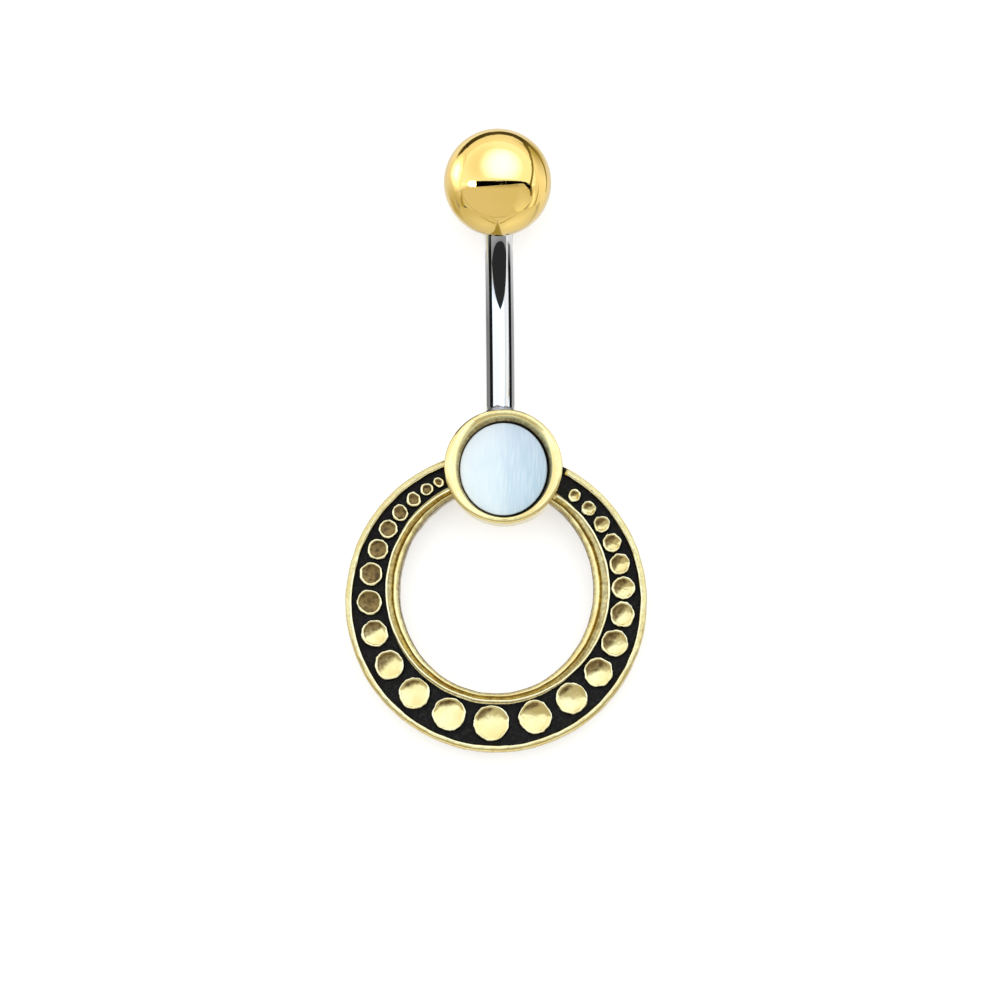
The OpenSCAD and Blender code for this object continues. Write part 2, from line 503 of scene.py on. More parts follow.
# %% The tree
def carry_round():
    """The tree that carries a section round its rings."""
    tree, given = new_tree("carry_round", {
        "Int": ("Steps Round",), "Vector": ("Inner Ring", "Middle Ring", "Outer Ring", "Sideways"),
        "Float": ("Floor Height", "Inner Rim End", "Outer Rim End", "Rim End Slope", "Waver", "Waver Size",
                  "Seed"),
        "Material": ("Material",)})
    shape, steps = given["Geometry"], given["Steps Round"]
    count = node(tree, "GeometryNodeAttributeDomainSize", {"Geometry": shape}, "Point Count",
                 component="MESH")
    grid = node(tree, "GeometryNodeMeshGrid", {"Vertices X": steps + 1, "Vertices Y": count}, "Mesh")
    index = node(tree, "GeometryNodeInputIndex")
    row = calc("MODULO", index, count)
    angle = calc("FLOOR", index / count) / steps * tau

    def of_section(kind, value):
        """What the section says for this row."""
        return node(tree, "GeometryNodeSampleIndex", {"Geometry": shape, "Value": value, "Index": row},
                    data_type=kind)

    out, _, up = parts(of_section("FLOAT_VECTOR", position(tree)))
    ring, dark = [of_section("FLOAT", stored(tree, title)) for title in ("ring", "dark")]
    past_inner, past_middle = calc("MINIMUM", ring, 1.0), calc("MAXIMUM", ring - 1, 0.0)

    def on_ring(inner, middle, outer):
        """The number for this row's ring, which may lie between two of the three."""
        return between(between(inner, middle, past_inner), outer, past_middle)

    rings = [parts(given[title]) for title in ("Inner Ring", "Middle Ring", "Outer Ring")]
    middle_y, half_width, half_length = [on_ring(*three) for three in zip(*rings)]
    middle_x = on_ring(*parts(given["Sideways"]))

    rim_end = between(given["Inner Rim End"], given["Outer Rim End"], past_middle)
    on_the_right = calc("LESS_THAN", angle, pi)
    ended = fade(angle, rim_end, rim_end + given["Rim End Slope"]) * on_the_right
    height = between(up, calc("MINIMUM", up, given["Floor Height"]), ended)

    x = middle_x + (half_width + out) * calc("SINE", angle)
    y = middle_y - (half_length + out) * calc("COSINE", angle)
    shape = moved(grid, Position=joined(x, y, height))
    shape = merged(storing(shape, "dark", between(dark, 1.0, ended)))
    return close_tree(wavered(shape, given["Waver"], given["Waver Size"], given["Seed"]), given["Material"])


CARRY = carry_round()
PLAIN = {"Floor Height": 1.0, "Inner Rim End": tau, "Outer Rim End": tau, "Rim End Slope": 1.0,
         "Waver": 0.0, "Waver Size": MM, "Seed": 0.0}


def carried(name, material, steps, corners, radii, rings, closed=False, **special):
    """A piece with this section. A ring is (y of its middle, half its width, half its length)."""
    values = {"Steps Round": steps, "Material": material, **PLAIN,
              **{title.replace("_", " "): value for title, value in special.items()}}
    values.update(zip(("Inner Ring", "Middle Ring", "Outer Ring"), [Vector(ring) * MM for ring in rings]))
    return grown(name, section(name + "_section", corners, radii, closed), CARRY, values)


print("tree:", CARRY.name, len(CARRY.nodes), "nodes")

# %% [markdown]
# ## The hoop
# The hoop is one casting with two rims. The outer one is a thin half-round. The inner one is wider: a soft
# lip along the opening, a groove, and a thin bead along the channel. The opening is oval and both it and
# the inner rim sit higher than the outer circle, which is what makes the channel wide at its foot and
# narrow at the setting. The slight waver keeps the rims from looking turned on a lathe.

# %% The hoop
INNER_Y = HOOP_Y + 0.65
# The last number of each corner is its dark. On the channel's walls and floor, 0.5 and more is the patina.
# The other values are painted light: below 0, painted highlights on the lip and on the crests of both rims;
# above 0, painted shade on the opening wall, the lip's edge, the groove, beside the bead and on the outer
# rim's outer edge and wall.
hoop = carried("hoop", antique_gold, 480, [
    (0, -0.06, 0, 0.12, 0.26),
    (0, -0.06, 1.2, 0, 0.26),
    (0, -0.05, 1.48, 0, 0.55),
    (0, 0, 1.64, 0.07, 0.2),
    (0.22, 0.10, 1.69, 0.08, -0.02),
    (0.26, 0.14, 1.59, 0.03, 0.16),
    (0.5, 0, 1.55, 0.3, 0.2),
    (1, -0.15, 1.58, 0.03, 0.28),
    (1, -0.11, 1.75, 0.04, -0.07),
    (1, 0, RIM_Z, 0.05, -0.08),
    (1, 0.01, 1.62, 0, 0.5),
    (1, 0.03, WEB_Z, 0.05, 1),
    (1.33, 0, WEB_Z, 0, 1),
    (1.66, 0, WEB_Z, 0, 1),
    (2, -0.38, WEB_Z, 0.05, 1),
    (2, -0.38, 1.64, 0, 0.5),
    (2, -0.37, RIM_Z, 0.13, -0.07),
    (2, 0, RIM_Z, 0.2, 0.12),
    (2, 0, 0.9, 0, 0.14),
    (2, 0, 0, 0.15, 0.2),
], (5.77, 6.4, HOOP_R), [(INNER_Y, 5.593, 5.95), (INNER_Y, 6.4, 6.4), (HOOP_Y, HOOP_R, HOOP_R)], closed=True,
    Sideways=Vector((-0.02, 0.07, 0)) * MM, Floor_Height=WEB_Z * MM, Inner_Rim_End=radians(149.9),
    Outer_Rim_End=radians(153.5), Rim_End_Slope=radians(1.5),
    Waver=0.09 * MM, Waver_Size=0.95 * MM, Seed=1.0)

# %% [markdown]
# ## The setting
# The setting is a round drum with a raised lip. Its hollow is oval, so the lip is wide at the sides. The
# wall inside slopes down to the disc and is painted darker on its way, as painted shade in the recess, and
# the seat round the disc is black, partly patina and partly painted shade. It is the hoop's tree with
# another section, one that starts and ends on the drum's own axis.
# In the photo the drum sits a hair to the right of the hoop's middle, so it is shifted by that much.

# %% The setting
SETTING_SHIFT, SEAT_SHIFT = Vector((0.14, 0, 0)), Vector((0.01, -0.12, 0))
SEAT_Z, BOTTOM_Z = 2.0, 1.37
LIP_WIDE, SHIFT_FROM, SHIFT_OVER = 0.3, LIP_Z - 0.04, 0.5
# The last number of each corner is its dark: a painted highlight along the middle of the lip, painted shade
# along its outer edge and down the inner wall, and black at the seat.
setting = carried("setting", antique_gold, 320, [
    (0, 0, 0, 0, 0),
    (2, 0, 0, 0.2, 0),
    (2, 0, LIP_Z, 0.18, 0.05),
    (1.5, 0.1, LIP_Z, 0, -0.05),
    (1, 0.22, LIP_Z - 0.05, 0.05, 0),
    (1, 0.18, LIP_Z - 0.16, 0, 0.16),
    (1, 0.11, LIP_Z - 0.36, 0, 0.26),
    (1, 0.06, 2.24, 0, 0.24),
    (1, 0.04, 2.10, 0, 0.3),
    (1, 0.02, 2.05, 0, 0.42),
    (1, 0, SEAT_Z, 0, 1),
    (1, 0, BOTTOM_Z, 0, 1),
    (0, 0, BOTTOM_Z, 0, 1),
], (0, 2.63, SETTING_R), [
    (SETTING_Y, 0, 0), (SETTING_Y, 2.547, 2.71), (SETTING_Y, SETTING_R + 0.02, SETTING_R - 0.08)],
    Sideways=Vector((0, 0.04, 0)) * MM, Waver=0.05 * MM, Waver_Size=1.5 * MM, Seed=2.0)
for vertex in setting.data.vertices:
    from_axis = (Vector((vertex.co.x, vertex.co.y)) / MM - Vector((0, SETTING_Y))).length
    if from_axis < SETTING_R - LIP_WIDE:
        depth = (SHIFT_FROM - vertex.co.z / MM) / SHIFT_OVER
        vertex.co += SEAT_SHIFT * MM * min(1, max(0, depth))
setting.data.transform(Matrix.Translation(SETTING_SHIFT * MM))

# %% [markdown]
# ## The shell disc
# A flat oval disc with softly broken edges. It could be a cylinder with a bevel, but the same tree gives it
# the same steps as the hollow that it lies in, so the thin dark gap round it is even.

# %% The shell disc
disc_half = (disc_high - disc_low) / 2
disc = carried("pearl_disc", shell, 256, [
    (0, 0, disc_low.z, 0, 0),
    (1, 0, disc_low.z, 0.04, 0),
    (1, 0, disc_high.z, 0.06, 0),
    (0, 0, disc_high.z, 0, 0),
], (0, disc_half.x), [(SETTING_Y, 0, 0)] + 2 * [(SETTING_Y, disc_half.x, disc_half.y)])
disc.data.transform(Matrix.Translation((SETTING_SHIFT + SEAT_SHIFT) * MM))

# %% [markdown]
# ## One dot
# Each dot is a low post with a hollow top inside a thin rim with a painted highlight. The posts differ in
# width but the rims don't, so a dot can't simply be scaled. Its rows of points say two things: a share of the
# dot's own width and a height, which are scaled, and an inset and a drop in millimetres, which are kept for
# after the scaling. The last two numbers of a row say how dark it is and whether it lies in the hollow. The
# darks of 1 and 0.8 at the foot are the channel's patina, the values below 0 along the rim are a painted
# highlight, and the small values on the outer and inner walls are painted shade.

# %% One dot
SPOKES = 48
WALL = 0.24
DISH = 0.03
FLOOR_DROP, MIDDLE_DROP = 0.104, 0.108
dot_rows = [
    (1, -0.04, 0, 0.5, 1, 0),
    (1, 0.0, 0, 0.16, 0.8, 0),
    (1, 0.004, 0, 0.08, 0.2, 0),
    (1, 0.02, 0, 0.03, -0.06, 0),
    (1, 0.05, 0, 0.004, -0.09, 0),
    (1, 0.075, 0, 0, -0.09, 0),
    (1, 0.10, 0, 0.008, -0.05, 0),
    (1, 0.13, 0, 0.030, 0, 0.5),
    (1, 0.17, 0, 0.065, 0.04, 1),
    (1, 0.21, 0, 0.092, 0.05, 1),
    (1, WALL, 0, FLOOR_DROP, 0.0, 1),
] + [(f, f * WALL, -DISH * (1 - f * f), MIDDLE_DROP, 0, 1) for f in (0.85, 0.7, 0.5, 0.3, 0.15)]
spokes = [(sin(tau * k / SPOKES), -cos(tau * k / SPOKES)) for k in range(SPOKES)]
points = [(share / 2 * x, share / 2 * y, height) for share, _, height, *_ in dot_rows for x, y in spokes]
insets = [(inset * MM * x, inset * MM * y, drop * MM)
          for _, inset, _, drop, *_ in dot_rows for x, y in spokes]
darks, hollows = [[row[k] for row in dot_rows for _ in spokes] for k in (4, 5)]
last = len(points)
faces = [(row + k, row + (k + 1) % SPOKES, row + (k + 1) % SPOKES + SPOKES, row + k + SPOKES)
         for row in range(0, last - SPOKES, SPOKES) for k in range(SPOKES)]
faces += [(last - SPOKES + k, last - SPOKES + (k + 1) % SPOKES, last) for k in range(SPOKES)]
faces.append(tuple(range(SPOKES))[::-1])
for values, middle in ((points, (0, 0, -DISH)), (insets, (0, 0, MIDDLE_DROP * MM)), (darks, 0), (hollows, 1)):
    values.append(middle)
dot_mesh = bpy.data.meshes.new("one_dot")
dot_mesh.from_pydata(points, [], faces)
for title, kind, slot, values in (
        ("inset", "FLOAT_VECTOR", "vector", [part for inset in insets for part in inset]),
        ("dark", "FLOAT", "value", darks), ("hollow", "FLOAT", "value", hollows),
        ("foot", "BOOLEAN", "value", [k < SPOKES for k in range(len(points))])):
    dot_mesh.attributes.new(title, kind, "POINT").data.foreach_set(slot, values)
print("one dot", len(points), "points")

# %% [markdown]
# ## The row of dots
# The dots follow the middle of the channel and shrink by the same step each time. That rule has a closed
# form: the distance from the foot of the hoop to a dot is the pitch times the mean width of the dots on the
# way. So the tree makes one point for each dot, works out its place from its number alone, and puts the dot
# there. Each leans a little towards the hoop's middle and a little at random, which is why in the light no
# two match. The maker set them by hand, so a small drift round the hoop puts them where the photo has them.


# %% Where the dots stand
DRIFT_RIGHT, DRIFT_LEFT = 11.5, 9.0
PATINA_SINCE, HALF_SHADE_SINCE, PATINA_OVER = 3.7, 1.6, 1.6


def laid_out(tree, given):
    """A point for each dot, with the brown of its hollow, partly patina and partly painted shade. Also the
    dots' widths and how they lean.
    """
    radius = given["Path Radius"]
    dots = node(tree, "GeometryNodePoints", {"Count": given["Dots Left"] + given["Dots Right"] + 1})
    place = node(tree, "GeometryNodeInputIndex") - given["Dots Left"]
    from_foot, on_left = calc("ABSOLUTE", place), calc("LESS_THAN", place, 0.0)
    shrunk = given["Width Step"] * from_foot
    width, mean_width = given["First Width"] - shrunk, given["First Width"] - shrunk * 0.5
    along = given["Pitch"] * (place * mean_width)
    wave_right = calc("SINE", from_foot * (tau / DRIFT_RIGHT))
    wave_left = calc("SINE", calc("MINIMUM", from_foot, DRIFT_LEFT) * (-pi / DRIFT_LEFT))
    angle = along / radius + given["Drift"] * between(wave_right, wave_left, on_left)
    sine, cosine = calc("SINE", angle), calc("COSINE", angle)
    dots = moved(dots, Position=joined(
        radius * sine, given["Path Middle"] - radius * cosine, given["Floor Height"] + given["Rise"]))
    # The first value browns the hollows further from the foot, partly patina and partly painted shade. The
    # second paints shade on the upper left of each hollow.
    for title, most, since in (("patina", between(0.07, 0.40, on_left), PATINA_SINCE),
                               ("painted_half_shade", 0.32, HALF_SHADE_SINCE)):
        dots = storing(dots, title, fade(from_foot, since, since + PATINA_OVER) * most)

    inwards = given["Lean Inwards"] * -1.0
    dipped = fade(place, -0.5, 1.5) * given["Lean On Right"]
    chance = node(tree, "FunctionNodeRandomValue", {0: (-1, -1, -9), 1: (1, 1, 9), "Seed": given["Seed"]},
                  data_type="FLOAT_VECTOR")
    lean = vector_calc("ADD", joined(cosine * inwards + dipped, sine * inwards),
                       vector_calc("SCALE", chance, Scale=given["Lean At Random"]))
    return dots, width, lean


print("the drift swings over", DRIFT_LEFT, "dots on the left and", DRIFT_RIGHT, "on the right")

# %% [markdown]
# ## The dots themselves
# A dot is put on each point, scaled to its width and leaned, and then its rim gets back its own size, which
# the inset holds. In the hollows brown is painted on the upper left and in a crescent at the top, which is
# painted shade, and the hollows further from the foot, most of all on the left, are browner, partly patina
# and partly painted shade. Two wavers, a slow and a fast one, make each outline uneven, and the dot's foot
# is pushed back down into the channel.


# %% The row of dots
SUNK = 0.1


def row_of_dots():
    """The tree that lays out the row."""
    tree, given = new_tree("row_of_dots", {
        "Int": ("Dots Left", "Dots Right", "Seed"), "Material": ("Material",),
        "Float": ("First Width", "Width Step", "Pitch", "Drift", "Path Middle", "Path Radius", "Floor Height",
                  "Rise", "Lean Inwards", "Lean On Right", "Lean At Random", "Unevenness", "Unevenness Size",
                  "Jags", "Jag Size", "Shade Crescent")})
    dots, width, lean = laid_out(tree, given)
    dots = node(tree, "GeometryNodeInstanceOnPoints", {
        "Points": dots, "Instance": given["Geometry"], "Scale": joined(width, width, width)})
    dots = node(tree, "GeometryNodeRotateInstances", {"Instances": dots, "Rotation": lean})
    dots = node(tree, "GeometryNodeRealizeInstances", {"Geometry": dots})
    inset = stored(tree, "inset", "FLOAT_VECTOR")

    def facing(x, y):
        """How far out on that side of the dot a point lies."""
        return vector_calc("DOT_PRODUCT", inset, (x, y, 0)) / (WALL * MM)

    # Painted shade: each hollow is browner on its upper left and in a crescent along its top.
    shaded = fade(facing(-0.7, 0.7), -0.25, 0.45) * stored(tree, "painted_half_shade")
    shade_crescent = fade(facing(-0.4, 0.92), 0.5, 0.95) * given["Shade Crescent"]
    kept = calc("MAXIMUM", shade_crescent, calc("MAXIMUM", shaded, stored(tree, "patina"))) * stored(tree, "hollow")
    dots = storing(dots, "dark", kept + stored(tree, "dark"))
    dots = moved(dots, Offset=vector_calc("SCALE", inset, Scale=-1.0))
    dots = wavered(dots, given["Unevenness"], given["Unevenness Size"], given["Seed"], (1, 1, 0.12))
    dots = wavered(dots, given["Jags"], given["Jag Size"], given["Seed"], (1, 1, 0.15))
    x, y, _ = parts(position(tree))
    sunk = joined(x, y, given["Floor Height"] - SUNK * MM)
    dots = moved(dots, Selection=stored(tree, "foot", "BOOLEAN"), Position=sunk)
    return close_tree(dots, given["Material"])


dots = grown("dots", dot_mesh, row_of_dots(), {
    "Dots Left": 12, "Dots Right": 11, "First Width": 2.06 * MM, "Width Step": 0.12 * MM, "Pitch": 1.19,
    "Drift": radians(2.2), "Path Middle": (HOOP_Y + 0.325) * MM, "Path Radius": 7.26 * MM,
    "Floor Height": WEB_Z * MM, "Rise": 0.5 * MM, "Lean Inwards": radians(1),
    "Lean On Right": radians(4.5), "Lean At Random": radians(1.5), "Unevenness": 0.19 * MM,
    "Unevenness Size": 0.45 * MM, "Jags": 0.09 * MM, "Jag Size": 0.16 * MM, "Shade Crescent": 0.38, "Seed": 4,
    "Material": antique_gold})

# %% [markdown]
# ## Where the bar lies
# The bar is an arc that rests on its lowest point. The angle down to its foot follows from the height at
# which it is soldered on, and the angle up to its tip from the height of the ball, which rests on the same
# surface. The bar was soldered a few degrees askew, and everything on it is turned about the round setting
# by that angle.

# %% Where the bar lies
LEAN = radians(2.8)
BEND_R, FOOT_Z = 14.5, 1.6
CLEAR_Z = 0.06
LOW_Z, BALL_Z = BAR_R + CLEAR_Z, BALL_R + CLEAR_Z
MOUTH_R, MOUTH_DEPTH, FREE = 0.83, 0.15, 0.03
MOUTH_Z = -sqrt(BALL_R ** 2 - MOUTH_R ** 2)
SEAT = FREE - MOUTH_DEPTH - MOUTH_Z
FOOT_ANGLE = acos(1 - (FOOT_Z - LOW_Z) / BEND_R)
TIP_ANGLE = acos((BEND_R + LOW_Z - BALL_Z) / hypot(BEND_R, SEAT)) - atan2(SEAT, BEND_R)
BAR_LOW = Vector((0, SETTING_Y + SETTING_R + BEND_R * sin(FOOT_ANGLE), LOW_Z))
about_setting = Matrix.Translation((0, SETTING_Y * MM, 0))
leaned = about_setting @ Matrix.Rotation(LEAN, 4, "Z") @ about_setting.inverted()


def at_bar_end(angle, side):
    """Where a piece stands at an end of the bar: Z along the bar, away from its middle."""
    spot = BAR_LOW + BEND_R * Vector((0, side * sin(angle), 1 - cos(angle)))
    return leaned @ Matrix.Translation(spot * MM) @ Matrix.Rotation(side * (angle - pi / 2), 4, "X")


print("the bar bends", round(degrees(FOOT_ANGLE), 2), "degrees down and", round(degrees(TIP_ANGLE), 2), "up")

# %% [markdown]
# ## The bar
# The bar is a round wire bent to an arc, so an arc with a circle swept along it is exactly what it is. Its
# last step narrows a little, which breaks the edge at the end that the ball sits on.


# %% The bar
INTO_SOLDER = radians(2)


def bent_bar():
    """The tree that bends a wire."""
    tree, given = new_tree("bent_bar", {
        "Int": ("Steps Along", "Steps Round"), "Material": ("Material",),
        "Float": ("Bend Radius", "Bar Radius", "Start Angle", "Sweep", "Broken Edge")})
    steps = given["Steps Along"]
    arc = node(tree, "GeometryNodeCurveArc", {
        "Resolution": steps, "Radius": given["Bend Radius"], "Start Angle": given["Start Angle"],
        "Sweep Angle": given["Sweep"]})
    last_step = 1.0 - calc("DIVIDE", 1.0, steps)
    share = node(tree, "GeometryNodeSplineParameter", output="Factor")
    wire = node(tree, "GeometryNodeCurvePrimitiveCircle", {"Resolution": given["Steps Round"], "Radius": 1.0})
    bar = node(tree, "GeometryNodeCurveToMesh", {
        "Curve": arc, "Profile Curve": wire, "Fill Caps": True,
        "Scale": given["Bar Radius"] - fade(share, last_step, 1.0) * given["Broken Edge"]})
    return close_tree(bar, given["Material"])


bar = grown("bar", bpy.data.meshes.new("bar_path"), bent_bar(), {
    "Bend Radius": BEND_R * MM, "Bar Radius": BAR_R * MM, "Broken Edge": 0.05 * MM,
    "Start Angle": -pi / 2 - FOOT_ANGLE - INTO_SOLDER, "Sweep": FOOT_ANGLE + INTO_SOLDER + TIP_ANGLE,
    "Steps Along": 160, "Steps Round": 72, "Material": steel})
upright = Matrix.Rotation(pi / 2, 4, "Z") @ Matrix.Rotation(pi / 2, 4, "X")
bar.data.transform(leaned @ Matrix.Translation((BAR_LOW + Vector((0, 0, BEND_R))) * MM) @ upright)

# %% [markdown]
# ## The solder
# The solder is a short lumpy collar that flares from the bar to the setting. The section tree makes it,
# with a strong waver for the lumps, and it reaches a little into the setting's wall, as solder does.

# %% The solder
AXIS = 3 * [(0, 0, 0)]
solder_ring = carried("solder", solder, 96, [
    (0, 0.0, 0.10, 0, 0),
    (0, 0.77, 0.10, 0, 0),
    (0, 0.80, 0.14, 0, 0),
    (0, 0.84, 0.20, 0, 0),
    (0, 0.91, 0.27, 0, 0),
    (0, 0.92, 0.50, 0, 0),
    (0, 0.0, 0.50, 0, 0),
], (0, 0), AXIS, Waver=0.16 * MM, Waver_Size=0.3 * MM, Seed=7.0)
solder_ring.data.transform(at_bar_end(FOOT_ANGLE, -1))

# %% [markdown]
# ## The threaded stud
# When the ball is off, the stud that it screws on shows. A thread is a surface with a rule: going once
# round it moves up by one pitch. The tree bends a grid into a tube and lets its radius rise and fall with
# the height minus the turn, so the groove winds up it as one line.


# %% The threaded stud
def thread():
    """The tree that winds a thread."""
    tree, given = new_tree("thread", {
        "Int": ("Steps Round", "Steps Up"), "Float": ("Length", "Radius", "Pitch", "Depth", "Lead In"),
        "Material": ("Material",)})
    length = given["Length"]
    grid = node(tree, "GeometryNodeMeshGrid", {
        "Size X": 1.0, "Size Y": 1.0, "Vertices X": given["Steps Round"] + 1,
        "Vertices Y": given["Steps Up"]}, "Mesh")
    x, y, _ = parts(position(tree))
    turn, up = x + 0.5, y + 0.5
    height = up * length
    groove = calc("PINGPONG", height / given["Pitch"] - turn, 0.5) * 2.0
    lead = 1.0 - fade(length - height, 0.0, given["Lead In"])
    inside = given["Radius"] - calc("MAXIMUM", groove, lead) * given["Depth"]
    ends = calc("LESS_THAN", up, 0.0001) + calc("GREATER_THAN", up, 0.9999)
    radius = inside * (1.0 - ends)
    angle = turn * tau
    spot = joined(radius * calc("COSINE", angle), radius * calc("SINE", angle), height)
    return close_tree(merged(moved(grid, Position=spot)), given["Material"])


stud = grown("stud", bpy.data.meshes.new("stud_axis"), thread(), {
    "Length": 3.6 * MM, "Radius": 0.6 * MM, "Pitch": 0.25 * MM, "Depth": 0.12 * MM, "Lead In": 0.25 * MM,
    "Steps Round": 48, "Steps Up": 180, "Material": steel}, sharp=50)
stud.data.transform(at_bar_end(TIP_ANGLE, 1))

# %% [markdown]
# ## The ball
# A mirror shows every facet, so the ball is a fine section carried round its axis, not a stock sphere. The
# section runs from the pole down the outside, turns over a broken edge into the mouth that the bar's end
# sits in, and goes on up the hole for the stud, so the piece is right also when it is unscrewed.

# %% The ball
HOLE_R, HOLE_DEPTH, HOLE_END = 0.63, 3.8, 4.0
BROKEN_EDGE = 0.04
BALL_STEPS = 96
mouth_angle = asin((MOUTH_R + BROKEN_EDGE) / BALL_R)
outside = [mouth_angle + (pi - mouth_angle) * k / BALL_STEPS for k in range(BALL_STEPS + 1)]
ball = carried("ball", ball_gold, 160, [
    (0, 0, MOUTH_Z + HOLE_END, 0, 0),
    (0, HOLE_R, MOUTH_Z + HOLE_DEPTH, 0, 0),
    (0, HOLE_R, MOUTH_Z + MOUTH_DEPTH + 0.05, 0, 0),
    (0, HOLE_R + 0.05, MOUTH_Z + MOUTH_DEPTH, 0, 0),
    (0, MOUTH_R, MOUTH_Z + MOUTH_DEPTH, 0, 0),
    (0, MOUTH_R, MOUTH_Z + 0.03, 0, 0),
] + [(0, BALL_R * sin(a), -BALL_R * cos(a), 0, 0) for a in outside], (0, 0), AXIS)
along_bar = at_bar_end(TIP_ANGLE, 1).to_3x3().to_4x4()
ball.data.transform(Matrix.Translation(ball_middle * MM) @ along_bar)

# %% [markdown]
# ## What moves with what
# The frame has two bodies. The ball travels on its own, and all the rest is soldered or set and stays with
# the ring. Each piece names the body that it rides on, the CAD solid that it stands for and its finish.

# %% Bodies
for piece, body, finish, solid in (
        (hoop, "ring", "antique_gold", "hoop_and_setting"),
        (setting, "ring", "antique_gold", None),
        (dots, "ring", "antique_gold", None),
        (disc, "ring", "pale_shell", "shell_disc"),
        (bar, "ring", "polished_steel", "curved_bar"),
        (solder_ring, "ring", "polished_steel", None),
        (stud, "ring", "polished_steel", None),
        (ball, "ball", "polished_gold", "top_ball")):
    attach(piece, body)
    if solid:
        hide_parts(solid)

# %% [markdown]
# ## The floor
# The piece lies on a plain pale sheet. The photograph's white was cut out and cleaned, but the metal still
# shows what stood round it, which was greyer. So the sheet is nearly white to the camera and a middle grey
# to what is reflected in the metal.

# %% The floor
FLOOR_HALF = 0.8
corners = [(x * FLOOR_HALF, y * FLOOR_HALF, 0) for x, y in ((-1, -1), (1, -1), (1, 1), (-1, 1))]
floor_mesh = bpy.data.meshes.new("floor")
floor_mesh.from_pydata(corners, [], [(0, 1, 2, 3)])
placed("floor", floor_mesh)
sheet, tree, shader = new_material("pale_sheet", Roughness=0.8, Emission_Color=(1, 1, 1, 1))
seen = node(tree, "ShaderNodeLightPath", output="Is Camera Ray")
fill(shader, {
    "Base Color": mixed(seen, (0.75, 0.75, 0.75), (0.66, 0.66, 0.66)),
    "Emission Strength": seen * 0.5})
floor_mesh.materials.append(sheet)
print("floor:", 2 * FLOOR_HALF, "m wide")

# %% [markdown]
# ## The light
# Polished metal is nothing but what it reflects, so the light is designed as a room. The room is a soft
# white tent. Its far half, beyond the ball, is bright and grows a little dimmer towards its left, which
# shades the hollow tops of the dots. Its near half is dimmer still, with a soft border overhead, and that
# border splits the tops of the dots into a pale and a tan part. All of this depends on direction alone, so
# it is painted on the world.


# %% The tent
world = bpy.data.worlds.new("tent")
bpy.context.scene.world = world
world.use_nodes = True
tree = world.node_tree
direction = node(tree, "ShaderNodeTexCoord", output="Generated")


def towards(x, y, z):
    """How far a direction points the same way as this one, from -1 to 1."""
    return vector_calc("DOT_PRODUCT", direction, Vector((x, y, z)).normalized())


far_half = fade(towards(-0.05, 1, 0), -0.23, -0.05)
shade = fade(towards(-0.5, 0.5, 0.7), 0.66, 1.0)
bright = mixed(shade, (1.2, 1.36, 1.6), (1.1, 1.12, 1.15))
in_metal = mixed(far_half, (0.55, 0.53, 0.47), bright)
rays = {title: node(tree, "ShaderNodeLightPath", output=title)
        for title in ("Is Glossy Ray", "Is Camera Ray")}
colour = mixed(rays["Is Glossy Ray"], between(0.65, 1.42, far_half), in_metal)
fill(tree.nodes["Background"], {"Color": mixed(rays["Is Camera Ray"], colour, (1.0, 1.0, 1.0))})
print("tent:", len(tree.nodes), "nodes")

# %% [markdown]
# ## Cards
# A photographer of jewellery draws its lines with small cards. A black card beside a bar draws a black line
# along it, and a white card gives an edge its light. These cards show in the metal alone. They are hidden
# from the camera and cast no shadow.


# %% Cards
paper, tree, shader = new_material("paper", Base_Color=(0, 0, 0, 1), Roughness=1.0, Specular_IOR_Level=0.0,
                                   Emission_Strength=1.0)
fill(shader, {"Emission Color": node(tree, "ShaderNodeAttribute", output="Color", attribute_name="bright")})
paper.cycles.emission_sampling = "NONE"


def paper_colour(value, warm):
    """The light of a grey or a warm paper. The darker a warm one, the less blue it gives back."""
    blue = min(1.0, max(0.3, 1.75 * value - 0.5)) if warm else 1.0
    return value, value * (0.8 + 0.2 * blue), value * blue, 1


def card(name, edges, brightness, place=Matrix(), warm=False):
    """A card spanned between edges, rows of points in millimetres. brightness is one value or a row for each
    edge."""
    if not isinstance(brightness, list):
        brightness = [[brightness] * len(edge) for edge in edges]
    wide = len(edges[0])
    corners = [place @ (Vector(corner) * MM) for edge in edges for corner in edge]
    faces = [(k, k + 1, k + 1 + wide, k + wide) for k in range(len(corners) - wide) if (k + 1) % wide]
    mesh = bpy.data.meshes.new(name)
    mesh.from_pydata(corners, [], faces)
    colours = [part for row in brightness for value in row for part in paper_colour(value, warm)]
    mesh.attributes.new("bright", "FLOAT_COLOR", "POINT").data.foreach_set("color", colours)
    mesh.materials.append(paper)
    made = placed(name, mesh)
    made.visible_camera = made.visible_diffuse = made.visible_shadow = False


print("card paper:", paper.name)

# %% [markdown]
# ## Cards for the bar
# The bar shows a black line and a grey edge on each side, a white middle and a dark pointed shape under the
# ball. Each of these is one card. The long ones follow the bar's own curve, so their lines keep an even
# width.


# %% Cards for the bar
BAR_STEPS = 16
bar_start, bar_stop = SETTING_Y + SETTING_R + 0.4, ball_low.y - 0.5


def bar_height(y):
    """How high the bar's middle line is there."""
    slope = asin((y - BAR_LOW.y) / BEND_R)
    return BAR_LOW.z + BEND_R * (1 - cos(slope))


def card_beside_bar(name, sides, heights, brightness, end, changing_from, upper=None):
    """A card beside the bar that follows its curve. Near the ball its brightness changes to end. Its upper
    edge may have a brightness of its own."""
    steps = [bar_start + (bar_stop - bar_start) * k / BAR_STEPS for k in range(BAR_STEPS + 1)]
    edges = [[(x, y, max(0.02, bar_height(y) + z)) for y in steps] for x, z in zip(sides, heights)]
    row = [brightness + (end - brightness) * max(0, k - changing_from) / (BAR_STEPS - changing_from)
           for k in range(BAR_STEPS + 1)]
    card(name, edges, [row, [upper] * len(row) if upper else row], leaned)


